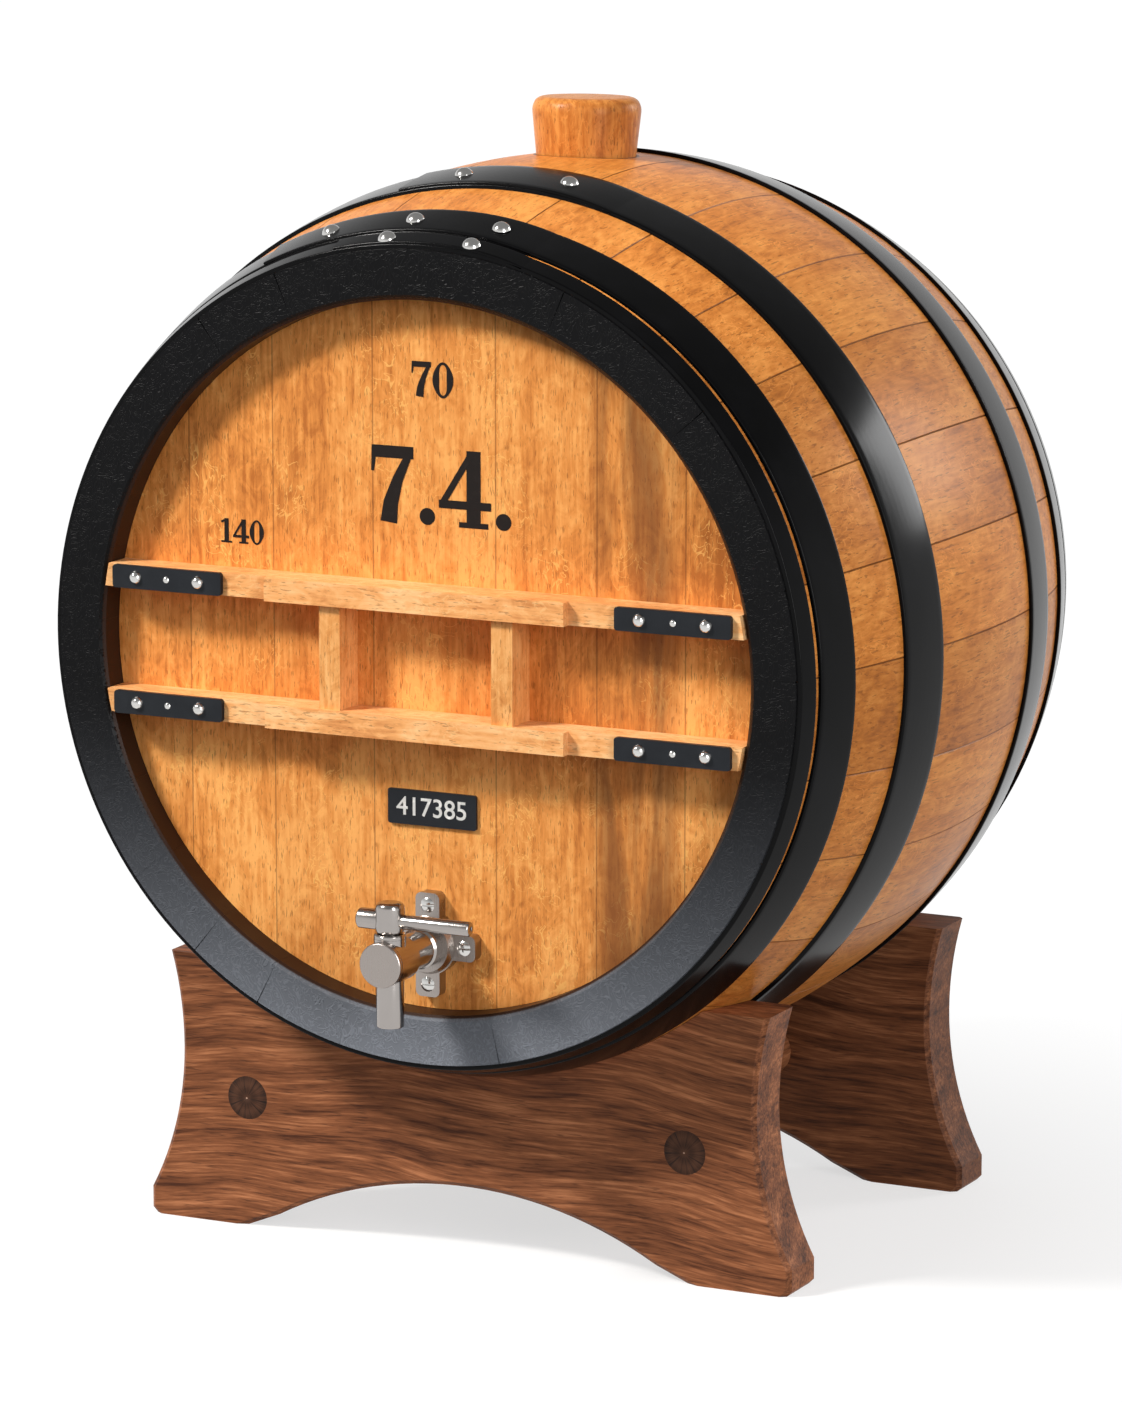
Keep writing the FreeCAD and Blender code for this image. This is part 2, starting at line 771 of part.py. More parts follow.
def cask_room():
    """The cask's outside, a little enlarged, which the cradle boards are cut to."""
    front, middle, back = 5.0, cask_length / 2, cask_length - 5.0
    top = [at(y, outer_radius(y, cradle_slack)) for y in (front, middle, back)]
    edges = [arc(*top), line(top[2], at(back, 0)), line(at(back, 0), at(front, 0)), line(at(front, 0), top[0])]
    return turned(closed_face(edges))


def cover_plug(sign):
    """A round wooden plug let into a board's outer face, standing out by a slight crown."""
    face = V(sign * plug_x, front_y + board_front_y, plug_z)
    plug_body = rod(cover_plug_radius, face, face + Y_DIR * cover_plug_length)
    return plug_body.fuse(stood(dome(cover_plug_radius, cover_plug_crown), face, -Y_DIR)).removeSplitter()


def cradle():
    """Two boards joined by two shouldered rails, with a pair of round plugs in each outer face."""
    front_board = cradle_board()
    pieces = {"front_cradle_board": front_board, "rear_cradle_board": mirrored(front_board)}
    inner_y = front_y + board_front_y + board_thickness
    far_y = rear_y - board_front_y - board_thickness
    plugs = []
    for name, sign in [("left_rail", -1), ("right_rail", 1)]:
        near = V(sign * rail_x, inner_y, rail_z)
        far = V(sign * rail_x, far_y, rail_z)
        tenon = rod(tenon_radius, near - Y_DIR * tenon_length, far + Y_DIR * tenon_length)
        pieces[name] = tenon.fuse(rod(rail_radius, near, far)).removeSplitter()
        plugs += [cover_plug(sign), mirrored(cover_plug(sign))]
    pieces["cover_plugs"] = group(plugs)
    return pieces


spindle_y = front_y - tap_reach + body_radius


def main():
    os.makedirs("parts", exist_ok=True)
    pieces = {"bung": bung(), "number_plate": number_plate()}
    for make in (staves, heads, hoops, shelf, tap, cradle):
        pieces.update(make())
    for name, shape in pieces.items():
        bad = not shape.isValid() or not shape.Solids
        print(name, len(shape.Solids), round(shape.Volume / 1000, 2), "cm3", "BAD" if bad else "")
        shape.exportStep(os.path.join("parts", name + ".step"))
    print(len(pieces), "nodes")


main()
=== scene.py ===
"""The looks of the oak cask liquor dispenser: finishes for its parts, smooth surfaces for what is turned,
coopered or rolled, and a plain studio. Metres, in the frame's own axes: +Z up, the tap at -Y."""
import math

import bmesh
import bpy
import mathutils
import numpy as np
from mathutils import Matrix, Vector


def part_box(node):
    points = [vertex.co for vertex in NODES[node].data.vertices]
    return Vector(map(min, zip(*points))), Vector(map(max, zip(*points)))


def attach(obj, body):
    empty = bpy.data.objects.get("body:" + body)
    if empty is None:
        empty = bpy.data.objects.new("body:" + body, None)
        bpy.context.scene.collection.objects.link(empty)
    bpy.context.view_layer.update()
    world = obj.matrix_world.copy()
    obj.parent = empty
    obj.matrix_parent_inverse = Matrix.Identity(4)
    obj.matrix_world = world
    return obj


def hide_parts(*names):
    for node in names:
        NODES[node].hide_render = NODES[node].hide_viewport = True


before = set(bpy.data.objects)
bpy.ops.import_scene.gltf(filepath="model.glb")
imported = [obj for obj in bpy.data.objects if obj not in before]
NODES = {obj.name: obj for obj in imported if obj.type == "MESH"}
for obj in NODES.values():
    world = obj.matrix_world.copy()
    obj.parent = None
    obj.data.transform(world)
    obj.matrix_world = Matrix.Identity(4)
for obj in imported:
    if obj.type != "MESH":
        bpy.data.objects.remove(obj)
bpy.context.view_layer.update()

MM = 0.001
SHARP_ANGLE = math.radians(38)


def low(node):
    """The lowest corner of a node's box."""
    return np.array(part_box(node)[0])


def high(node):
    """The highest corner of a node's box."""
    return np.array(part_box(node)[1])


# Cask, from its own parts
front_y = low("bung_stave")[1]
rear_y = high("bung_stave")[1]
middle_y = (front_y + rear_y) / 2
cask_length = rear_y - front_y
axis_z = (low("rear_head")[2] + high("rear_head")[2]) / 2
bilge_radius = 220.5 * MM
chime_radius = 192.0 * MM
sag = bilge_radius - chime_radius
bend_radius = (cask_length ** 2 / 4 + sag ** 2) / (2 * sag)
head_front_y = low("front_head")[1]
hoop_gauge = 2.0 * MM
lap_gauge = 1.2 * MM
bung_y = middle_y + 16 * MM
bung_hole_radius = 25.0 * MM


def outer_radius(y):
    """Radius of the cask's bulged outside at y: an arc through both chimes and the bilge."""
    return bilge_radius - bend_radius + np.sqrt(bend_radius ** 2 - (y - middle_y) ** 2)


def on_circle(radius, angle):
    """x and z of a point at an angle in degrees from the top, clockwise from the front."""
    turn = np.radians(angle)
    return radius * np.sin(turn), axis_z + radius * np.cos(turn)


# Meshes


def surface(name, body, grids, material, smooth=True):
    """A piece made of grids of points, each an array of rows x columns x 3, joined where they meet."""
    points = []
    faces = []
    count = 0
    for grid in grids:
        rows, columns = grid.shape[:2]
        index = count + np.arange(rows * columns).reshape(rows, columns)
        corners = [index[:-1, :-1], index[1:, :-1], index[1:, 1:], index[:-1, 1:]]
        faces.append(np.stack(corners, -1).reshape(-1, 4))
        points.append(grid.reshape(-1, 3))
        count += rows * columns
    mesh = bpy.data.meshes.new(name)
    mesh.from_pydata(np.concatenate(points).tolist(), [], np.concatenate(faces).tolist())
    return finished(name, mesh, body, material, smooth)


def finished(name, mesh, body, material, smooth=True, weld=0.004 * MM):
    """Welds a mesh's seams, turns its faces outwards, and hangs it on its body."""
    work = bmesh.new()
    work.from_mesh(mesh)
    bmesh.ops.remove_doubles(work, verts=work.verts, dist=weld)
    bmesh.ops.dissolve_degenerate(work, edges=work.edges, dist=weld / 4)
    bmesh.ops.recalc_face_normals(work, faces=work.faces)
    work.to_mesh(mesh)
    work.free()
    if smooth:
        mesh.shade_smooth()
        mesh.set_sharp_from_angle(angle=SHARP_ANGLE)
    else:
        mesh.shade_flat()
    piece = bpy.data.objects.new(name, mesh)
    bpy.context.scene.collection.objects.link(piece)
    mesh.materials.append(material)
    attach(piece, body)
    return piece


def softened(profile, radius):
    """Rounds each corner of an open profile: a quadratic curve between points set back along both sides,
    by the radius, or by a share of the shorter side where that is less."""
    share, steps = 0.45, 3
    points = np.asarray(profile, float)
    out = [points[:1]]
    for before, corner, after in zip(points[:-2], points[1:-1], points[2:]):
        back = before - corner
        ahead = after - corner
        reach = min(radius, share * np.linalg.norm(back), share * np.linalg.norm(ahead))
        start = corner + back / np.linalg.norm(back) * reach
        end = corner + ahead / np.linalg.norm(ahead) * reach
        t = np.linspace(0, 1, steps + 1)[:, None]
        out.append((1 - t) ** 2 * start + 2 * t * (1 - t) * corner + t ** 2 * end)
    out.append(points[-1:])
    return np.concatenate(out)


def lathe_grid(profile, base, axis, sides, softness):
    """A profile of (radius, distance) points turned about a line from base along axis: each point goes to
    base + distance along the axis + radius in a direction that turns once round it."""
    points = softened(profile, softness)
    along = np.asarray(axis, float) / np.linalg.norm(axis)
    aside = (0.31, 0.17, 0.94) if abs(along[2]) < 0.9 else (1.0, 0.0, 0.0)
    across = np.cross(along, aside)
    across /= np.linalg.norm(across)
    other = np.cross(along, across)
    turn = np.linspace(0, 2 * np.pi, sides + 1)
    turn[-1] = 0.0
    ring = np.cos(turn)[:, None] * across + np.sin(turn)[:, None] * other
    radius, distance = points[:, 0], points[:, 1]
    run = (distance[:, None] * along)[:, None, :]
    return np.asarray(base) + radius[:, None, None] * ring[None] + run


def turned(name, body, node, profile, base, axis, material, sides, softness):
    """A turned piece that stands for one node."""
    grid = lathe_grid(profile, base, axis, sides, softness)
    piece = surface(name, body, [grid], material)
    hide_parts(node)


# The inside of a stave's end, from the end inwards: bevel, rim, groove for the head and shoulder
END_DEPTH = np.array([0, 2.5, 15, 18, 26, 29, 33]) * MM
END_RADIUS = np.array([171, 168.5, 168.5, 173.6, 173.6, 169.5, 172]) * MM


def stave_piece(name, node, start, sweep, material):
    """One stave. Its section runs out along the cask's arc and back inside, over the cut ends and a parabola
    that bulges as much as the arc. Each point of the section is carried round the cask's circle from start
    through sweep, in degrees, and the outside drops by a narrow bevel at both joints."""
    bevel_width, bevel_depth = 0.45 * MM, 0.4 * MM
    joint_gap = 0.01
    outside_y = front_y + cask_length * np.linspace(0, 1, 65)
    share = np.linspace(0, 1, 31)[1:-1]
    inside_y = front_y + END_DEPTH[-1] + (cask_length - 2 * END_DEPTH[-1]) * share
    inside_r = END_RADIUS[-1] + sag * (1 - (2 * share - 1) ** 2)
    section_y = [outside_y, rear_y - END_DEPTH, inside_y[::-1], (front_y + END_DEPTH)[::-1], outside_y[:1]]
    section_r = [outer_radius(outside_y), END_RADIUS, inside_r, END_RADIUS[::-1], outer_radius(outside_y[:1])]
    section_y, section_r = np.concatenate(section_y), np.concatenate(section_r)
    ease = np.degrees(bevel_width / section_r)
    drop = np.zeros_like(section_r)
    drop[:len(outside_y)] = bevel_depth
    columns = [(section_r - drop, start + joint_gap)]
    columns += [(section_r, start + ease + step * (sweep - 2 * ease)) for step in np.linspace(0, 1, 9)]
    columns += [(section_r - drop, start + sweep - joint_gap)]
    x, z = (np.stack(part, 1) for part in zip(*(on_circle(radius, angle) for radius, angle in columns)))
    grid = np.stack([x, np.broadcast_to(section_y[:, None], x.shape), z], -1)
    piece = surface(name, "cask", [grid], material)
    cap_sides(piece)
    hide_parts(node)


def cap_sides(piece):
    """Closes both long sides of a stave with one flat face each."""
    work = bmesh.new()
    work.from_mesh(piece.data)
    open_edges = [e for e in work.edges if e.is_boundary]
    bmesh.ops.holes_fill(work, edges=open_edges, sides=0)
    bmesh.ops.triangulate(work, faces=[f for f in work.faces if len(f.verts) > 4])
    bmesh.ops.recalc_face_normals(work, faces=work.faces)
    work.to_mesh(piece.data)
    work.free()
    piece.data.shade_smooth()
    piece.data.set_sharp_from_angle(angle=SHARP_ANGLE)


def hoop_piece(name, node, mirror, span, lap, material):
    """A rolled hoop: a flat strip with rounded edges that follows the cask's arc, carried round its circle.
    Over the lap a second, thinner strip lies on it, square at its start, and sinks into the first at its
    end by the square of the way through the lap's last third."""
    edge_radius = 0.7 * MM
    clearance = 0.02 * MM
    ys = span[0] * MM + (span[1] * MM - span[0] * MM) * np.linspace(0, 1, 9)
    grids = []
    layers = [(0.0, hoop_gauge, 0.0, 360.0, True), (hoop_gauge, lap_gauge, lap[0], lap[1] - lap[0], False)]
    for lift, gauge, start, sweep, closed in layers:
        top = np.stack([ys, outer_radius(front_y + ys) + lift + gauge], -1)
        base = np.stack([ys, outer_radius(front_y + ys) + lift + clearance], -1)[::-1]
        ring = softened(np.concatenate([base[-1:], top, base[:1]]), edge_radius)
        section = np.concatenate([ring, base])
        sides = 193 if closed else max(12, int(sweep))
        turn = np.linspace(start, start + sweep, sides)
        fade = np.clip((turn - start) / sweep * 3.2 - 2.2, 0, 1)
        sink = 0.0 if closed else 0.98 * gauge * fade ** 2
        x, z = on_circle(section[:, 1][:, None] - sink, turn[None, :])
        if closed:
            x[:, -1], z[:, -1] = x[:, 0], z[:, 0]
        y = np.repeat(section[:, 0][:, None], len(turn), 1)
        y = rear_y - y if mirror else front_y + y
        grid = np.stack([x, y, z], -1)
        grids.append(grid)
        if not closed:
            for end in (0, -1):
                rim = grid[:, end]
                grids.append(np.stack([rim, np.repeat(rim.mean(0)[None], len(rim), 0)]))
    piece = surface(name, "cask", grids, material)
    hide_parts(node)


def domes(name, body, node, places, radius, height, material):
    """Many dome heads as one piece. Each is the cap of a ball, radius wide and height tall, turned about its
    own direction, over a flat foot that sinks a little and has a shallow recess."""
    sunk = 0.2 * MM
    recess = radius * 0.4
    ball = (radius ** 2 + height ** 2) / (2 * height)
    turn = np.linspace(math.asin(radius / ball), 0, 9)
    arc = np.stack([ball * np.sin(turn), height - ball + ball * np.cos(turn)], -1)
    foot = np.array([[0, 0], [recess, 0], [recess, -sunk], [radius, -sunk]])
    profile = np.concatenate([foot, arc])
    grids = [lathe_grid(profile, base, axis, sides=28, softness=0.05 * MM) for base, axis in places]
    piece = surface(name, body, grids, material)
    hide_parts(node)


# Shader maths


class Sock:
    """An output of a node, on which sums can be written: each operator adds its Math node."""

    def __init__(self, tree, socket):
        self.tree = tree
        self.socket = socket

    def _math(self, operation, *values):
        return self.tree.node("ShaderNodeMath", {"operation": operation}, dict(enumerate(values)))

    def __add__(self, other):
        return self._math("ADD", self, other)

    def __sub__(self, other):
        return self._math("SUBTRACT", self, other)

    def __mul__(self, other):
        return self._math("MULTIPLY", self, other)

    def __rsub__(self, other):
        return self._math("SUBTRACT", other, self)

    def __abs__(self):
        return self._math("ABSOLUTE", self)

    __radd__ = __add__
    __rmul__ = __mul__

    def apply(self, operation, *values):
        return self._math(operation, self, *values)

    def clipped(self, start, end):
        """0 below start, 1 above end, straight between. Start may be the larger."""
        settings = {"clamp": True}
        return self.tree.node("ShaderNodeMapRange", settings, {0: self, 1: start, 2: end, 3: 0.0, 4: 1.0})

    def near(self, place, width):
        """1 within width of place, fading to 0 at twice the width."""
        return abs(self - place).clipped(2 * width, width)


class Finish:
    """A material's node tree, built from expressions."""

    def __init__(self, name, owner=None):
        self.material = owner or bpy.data.materials.new(name)
        self.material.use_nodes = True
        self.tree = self.material.node_tree
        self.tree.nodes.clear()
        self.place = self.node("ShaderNodeTexCoord", {}, {}, "Object")

    def node(self, kind, settings, values, output=0):
        """Adds a node: its settings first, a ramp's stops among them, then its inputs' values or links.
        A colour is given by its three parts."""
        made = self.tree.nodes.new(kind)
        for key, value in settings.items():
            if key == "stops":
                ramp = made.color_ramp
                while len(ramp.elements) < len(value):
                    ramp.elements.new(0.5)
                for element, (position, colour) in zip(ramp.elements, value):
                    element.position = position
                    element.color = (*colour, 1.0)
            else:
                setattr(made, key, value)
        for key, value in values.items():
            socket = made.inputs[key]
            if isinstance(value, Sock):
                self.tree.links.new(value.socket, socket)
            else:
                socket.default_value = (*value, 1.0) if socket.type == "RGBA" else value
        return Sock(self, made.outputs[output]) if output is not None else None

    def xyz(self, vector=None):
        """The three numbers of a vector."""
        first = self.node("ShaderNodeSeparateXYZ", {}, {0: vector or self.place})
        return [Sock(self, out) for out in first.socket.node.outputs]

    def vector(self, x, y, z):
        return self.node("ShaderNodeCombineXYZ", {}, {0: x, 1: y, 2: z})

    def noise(self, vector, scale, detail=4.0, rough=0.55, warp=0.0):
        values = {"Vector": vector, "Scale": scale, "Detail": detail, "Roughness": rough, "Distortion": warp}
        return self.node("ShaderNodeTexNoise", {}, values)

    def ramp(self, factor, *stops):
        return self.node("ShaderNodeValToRGB", {"stops": stops}, {0: factor})

    def mix(self, factor, first, second):
        """The first colour at factor 0, the second at 1."""
        return self.node("ShaderNodeMix", {"data_type": "RGBA"}, {0: factor, 6: first, 7: second}, 2)

    def bump(self, height, strength, distance):
        values = {"Strength": strength, "Distance": distance, "Height": height}
        return self.node("ShaderNodeBump", {}, values, "Normal")

    def surface(self, colour, roughness, normal=None, metallic=0.0, coat=0.0, level=0.5, glow=None):
        """Ends the tree in one Principled shader. level is its specular level."""
        values = {"Base Color": colour, "Roughness": roughness, "Metallic": metallic, "Coat Weight": coat}
        values.update({"Coat Roughness": 0.2, "Specular IOR Level": level})
        if normal:
            values["Normal"] = normal
        if glow:
            values.update({"Emission Color": glow, "Emission Strength": 1.0})
        shader = self.node("ShaderNodeBsdfPrincipled", {}, values)
        self.node("ShaderNodeOutputMaterial", {}, {"Surface": shader}, None)
        return self.material


def scaled(colour, factor, limit=math.inf):
    """A colour with each part multiplied by a factor, up to a limit."""
    return tuple(min(limit, factor * part) for part in colour)


def wood_place(f, place, seed, cross_scale, long_scale):
    """A place in the wood, given as (across, along, depth) in metres and scaled for one of its figures."""
    across, along, depth = place
    return f.vector(across * cross_scale + seed, along * long_scale, depth * cross_scale)


def oak(name, grain, dark, mid, pale, seed, shade=None, fleck=0.75):
    """Varnished oak. grain turns x, y and z into (across, along, depth): fibres are noise stretched along the
    grain, rays are curling pale flecks, pores are dark and short, and slow clouds vary the stain."""
    f = Finish(name)
    x, y, z = f.xyz()
    place = grain(x, y, z)
    fibre = f.noise(wood_place(f, place, seed, 460, 34), 1.0, 5.0, 0.6)
    band = f.noise(wood_place(f, place, seed, 46, 5), 1.0, 3.0, 0.5, 1.0)
    cloud = f.noise(wood_place(f, place, seed, 12, 10), 1.0, 3.0, 0.5, 0.6)
    mottle = f.noise(wood_place(f, place, seed, 95, 55), 1.0, 4.0, 0.6, 1.8)
    tone = fibre * 0.44 + band * 0.34 + cloud * 0.42 + mottle * 0.40 - 0.30
    colour = f.ramp(tone, (0.33, dark), (0.47, mid), (0.61, pale))
    curls = curly_rays(f, wood_place(f, place, seed, 95, 60), fleck)
    colour = f.mix(curls, colour, scaled(pale, 1.18, 0.95))
    pores = dark_pores(f, wood_place(f, place, seed, 1350, 190), band)
    colour = f.mix(pores * 0.55, colour, scaled(dark, 0.45))
    if shade:
        colour = shade(f, colour, x, z)
    height = fibre * 0.5 - pores * 0.8 + curls * 0.9
    gloss = 0.36 + cloud * 0.10 - 0.05 + pores * 0.2
    return f.surface(colour, gloss, f.bump(height, 0.3, 0.25 * MM), coat=0.02, level=0.13)


def curly_rays(f, where, amount):
    """Thin curling pale flecks: the level lines of a twisted noise, kept in scattered patches."""
    twisted = f.noise(where, 1.0, 2.0, 0.5, 2.2)
    patches = f.noise(where, 0.45, 2.0, 0.5)
    return twisted.near(0.50, 0.010) * patches.clipped(0.48, 0.60) * amount


def dark_pores(f, where, band):
    """Short dark pores: the peaks of a noise stretched along the grain, denser in some bands."""
    spots = f.noise(where, 1.0, 2.0, 0.55)
    return (spots + band * 0.12).clipped(0.672, 0.725)


def lengthwise(x, y, z):
    return x, y, z


def upright(x, y, z):
    return x, z, y


def sideways(x, y, z):
    return z, x, y


def stave_finish(name, seed, lift, start, sweep, hole=False):
    """The outside's oak, a shade lighter or darker for each stave, dark along its joints and round the bung
    hole, and painted black at its ends. Painted light: below the axis the black is drawn paler and bluer
    towards the bottom, and paler along its swirl lines, for light thrown up onto it from below. Painted
    shade: the inner wall of the chime, in the head's recess, is drawn dark brown. A stave's joints lie half a
    sweep to either side of its middle, in degrees."""
    dark = scaled((0.36, 0.108, 0.020), lift)
    mid = scaled((0.63, 0.212, 0.038), lift)
    pale = scaled((0.84, 0.340, 0.078), lift)
    f = Finish(name)
    x, y, z = f.xyz()
    place = lengthwise(x, y, z)
    radius = (x * x + (z - axis_z) * (z - axis_z)).apply("SQRT")
    fibre = f.noise(wood_place(f, place, seed, 470, 38), 1.0, 5.0, 0.65, 0.3)
    band = f.noise(wood_place(f, place, seed, 52, 9), 1.0, 4.0, 0.6, 1.2)
    cloud = f.noise(wood_place(f, place, seed, 10, 9), 1.0, 3.0, 0.5, 0.4)
    mottle = f.noise(wood_place(f, place, seed, 95, 48), 1.0, 4.0, 0.6, 1.8)
    tone = fibre * 0.40 + band * 0.30 + cloud * 0.32 + mottle * 0.34 - 0.175
    colour = f.ramp(tone, (0.33, dark), (0.48, mid), (0.64, pale))
    curls = curly_rays(f, wood_place(f, place, seed, 80, 46), 0.42)
    colour = f.mix(curls, colour, scaled(pale, 1.2))
    pores = dark_pores(f, wood_place(f, place, seed, 950, 105), band)
    colour = f.mix(pores * 0.5, colour, scaled(dark, 0.5))
    middle = math.radians(start + sweep / 2)
    off = abs((x.apply("ARCTAN2", z - axis_z) - middle).apply("WRAP", math.pi, -math.pi))
    joint = ((off - math.radians(sweep / 2)) * radius).clipped(-0.60 * MM, -0.30 * MM)
    colour = f.mix(joint * 0.62, colour, (0.075, 0.024, 0.008))
    half = cask_length / 2
    end = abs(y - middle_y).clipped(half - 1.6 * MM, half - 1.0 * MM)
    bore = (radius - outer_radius_socket(y)).clipped(-0.9 * MM, -1.4 * MM)
    throat_shade = bore * abs(y - middle_y).clipped(half - 17 * MM, half - 16 * MM)
    if hole:
        across = y - bung_y
        rim = (x * x + across * across).apply("SQRT").near(bung_hole_radius, 0.45 * MM)
        colour = f.mix(rim * 0.85, colour, (0.050, 0.018, 0.008))
    swirl = f.noise(f.place, 130.0, 1.0, 0.5, 3.2).near(0.5, 0.030)
    # Painted light: the black is drawn paler and bluer the further it lies below the axis, and paler along
    # the swirl lines.
    painted_light_below = (z - axis_z).clipped(-0.10 * chime_radius, -chime_radius)
    paint = f.mix(painted_light_below * painted_light_below * (0.80 + swirl * 0.20), (0.0035, 0.0035, 0.004), (0.215, 0.232, 0.265))
    # Painted shade: the inside of the chime, over the head, is drawn dark brown.
    colour = f.mix(throat_shade, colour, (0.030, 0.013, 0.007))
    colour = f.mix(end, colour, paint)
    gloss = 0.34 + cloud * 0.10 - 0.05 + end * swirl * 0.12
    relief = (fibre * 0.5 - pores * 0.5 + curls * 0.9) * (1 - end) * 0.3 + swirl * end * 7.0
    return f.surface(colour, gloss, f.bump(relief, 0.35, 0.3 * MM), level=0.09)


def outer_radius_socket(y):
    """The cask's outside radius at y, for the shader: the same arc."""
    run = y - middle_y
    return (bend_radius ** 2 - run * run).apply("SQRT") + (bilge_radius - bend_radius)


HEAD_JOINTS = (-129.0, -84.0, -31.0, 33.0, 85.0, 130.0)


def head_shade(f, colour, x, z):
    """Each head board takes its own tone, with a dark line at its joints and a smoky streak."""
    number = 0.0
    line = 0.0
    for joint in HEAD_JOINTS:
        number = (x - joint * MM).apply("GREATER_THAN", 0.0) + number
        line = x.near(joint * MM, 0.22 * MM) + line
    tone = f.node("ShaderNodeTexWhiteNoise", {"noise_dimensions": "1D"}, {"W": number * 1.7 + 3.1})
    colour = f.mix(tone * 0.16, colour, (0.40, 0.14, 0.036))
    smoke = f.noise(f.vector(x * 40, z * 4.0, 2.5), 1.0, 4.0, 0.65, 1.0)
    streak = x.near(105 * MM, 13 * MM) * smoke.clipped(0.40, 0.58) * 0.75
    colour = f.mix(streak, colour, (0.17, 0.060, 0.020))
    return f.mix(line * 0.5, colour, (0.10, 0.032, 0.012))


def walnut(name, grain, seed, painted_shade_dim=1.0):
    """Stained walnut with open pores. Its long figure waves, because a slow noise shifts it across.
    Painted shade: a factor below 1 darkens all its colours, for copies of the walnut that stand in shade.
    """
    f = Finish(name)
    x, y, z = f.xyz()
    across, along, depth = grain(x, y, z)
    bend = f.noise(wood_place(f, (across, along, depth), seed, 5, 3.5), 1.0, 2.0, 0.5)
    shifted = across + (bend - 0.5) * 0.075
    figure = f.noise(f.vector(shifted * 105 + seed, along * 7, depth * 60), 1.0, 5.0, 0.6)
    fibre = f.noise(wood_place(f, (shifted, along, depth), seed, 640, 30), 1.0, 4.0, 0.65)
    spots = f.noise(wood_place(f, (across, along, depth), seed, 1000, 70), 1.0, 2.0, 0.6)
    pores = spots.clipped(0.60, 0.70)
    tone = figure * 0.62 + fibre * 0.62 - 0.12
    # Painted shade: the three colours are darkened by the factor.
    dark = scaled((0.062, 0.019, 0.008), painted_shade_dim)
    mid = scaled((0.250, 0.088, 0.036), painted_shade_dim)
    pale = scaled((0.53, 0.212, 0.094), painted_shade_dim)
    colour = f.ramp(tone, (0.36, dark), (0.53, mid), (0.70, pale))
    colour = f.mix(pores * 0.55, colour, scaled(dark, 0.5))
    height = fibre * 0.5 - pores * 0.8
    return f.surface(colour, 0.46 + fibre * 0.14, f.bump(height, 0.35, 0.3 * MM), level=0.16)


def end_grain(name, centre, seed):
    """The sawn face of a round plug: rings about its heart, and checks that run out from it."""
    f = Finish(name)
    x, y, z = f.xyz()
    side = abs(x) - centre[0]
    rise = z - centre[1]
    reach = (side * side + rise * rise).apply("SQRT")
    turn = rise.apply("ARCTAN2", side)
    wobble = f.noise(f.vector(x * 60, y * 5, z * 60), 1.0, 3.0, 0.6)
    rings = (reach * 900 + wobble * 3.0).apply("SINE") * 0.5 + 0.5
    spokes = f.noise(f.vector(turn * 5.5, reach * 18 + seed, 0.0), 1.0, 4.0, 0.7)
    tone = rings * 0.16 + spokes * 0.80
    colour = f.ramp(tone, (0.30, (0.022, 0.009, 0.005)), (0.72, (0.105, 0.045, 0.025)))
    splits = spokes.clipped(0.45, 0.37) * reach.clipped(0.2 * MM, 1.5 * MM)
    colour = f.mix(splits * 0.8, colour, (0.012, 0.006, 0.004))
    colour = f.mix(reach.clipped(0.55 * MM, 0.3 * MM), colour, (0.45, 0.28, 0.20))
    height = rings * 0.3 - splits
    return f.surface(colour, 0.5 + spokes * 0.15, f.bump(height, 0.4, 0.3 * MM), level=0.16)


def gloss_black(name):
    """Stove paint on rolled iron: nearly even, with faint rolling marks and a little orange peel."""
    f = Finish(name)
    peel = f.noise(f.place, 700.0, 2.0, 0.5)
    wear = f.noise(f.place, 26.0, 4.0, 0.6)
    colour = f.mix(wear.clipped(0.45, 0.75) * 0.6, (0.0018, 0.0018, 0.0020), (0.005, 0.005, 0.006))
    return f.surface(colour, 0.12 + wear * 0.10, f.bump(peel, 0.05, 0.1 * MM), level=0.09)


def slate_paint(name):
    """Satin slate-black paint on the shelf's end plates, with worn edges and dust-fine grain."""
    f = Finish(name)
    grit = f.noise(f.place, 900.0, 3.0, 0.6)
    wear = f.noise(f.place, 60.0, 4.0, 0.6)
    colour = f.mix(wear, (0.006, 0.007, 0.009), (0.022, 0.025, 0.030))
    return f.surface(colour, 0.30 + wear * 0.16, f.bump(grit, 0.12, 0.1 * MM), level=0.16)


def steel(name, brush, tone=(0.40, 0.37, 0.35), roughness=0.13):
    """Stainless steel with fine turning or brushing marks: brush squeezes the place along the axis that the
    marks run across."""
    f = Finish(name)
    x, y, z = f.xyz()
    marks = f.noise(brush(f, x, y, z), 1.0, 3.0, 0.6)
    haze = f.noise(f.place, 120.0, 3.0, 0.6)
    colour = f.mix(haze * 0.35, tone, scaled(tone, 0.72))
    gloss = roughness + marks * 0.12 - 0.04 + haze * 0.05
    return f.surface(colour, gloss, f.bump(marks, 0.03, 0.05 * MM), metallic=1.0)


def turned_marks(f, x, y, z):
    return f.vector(x * 60, y * 2600, z * 60)


def upright_marks(f, x, y, z):
    return f.vector(x * 60, y * 60, z * 2600)


def cross_marks(f, x, y, z):
    return f.vector(x * 2600, y * 60, z * 60)


def rubber(name):
    """Matt black rubber with a fine even grain."""
    f = Finish(name)
    grain = f.noise(f.place, 1400.0, 3.0, 0.6)
    colour = f.mix(grain, (0.010, 0.010, 0.010), (0.022, 0.022, 0.022))
    return f.surface(colour, 0.6 + grain * 0.2, f.bump(grain, 0.15, 0.1 * MM))


# Finishes of the pieces
tap_y = high("tap_bonnet")[1] / 2 + low("tap_bonnet")[1] / 2
tap_axis_z = (low("tap_end_cap")[2] + high("tap_end_cap")[2]) / 2
plug_radius = 10.7 * MM
plug_place = (high("cover_plugs")[0] - plug_radius, (low("cover_plugs")[2] + high("cover_plugs")[2]) / 2)

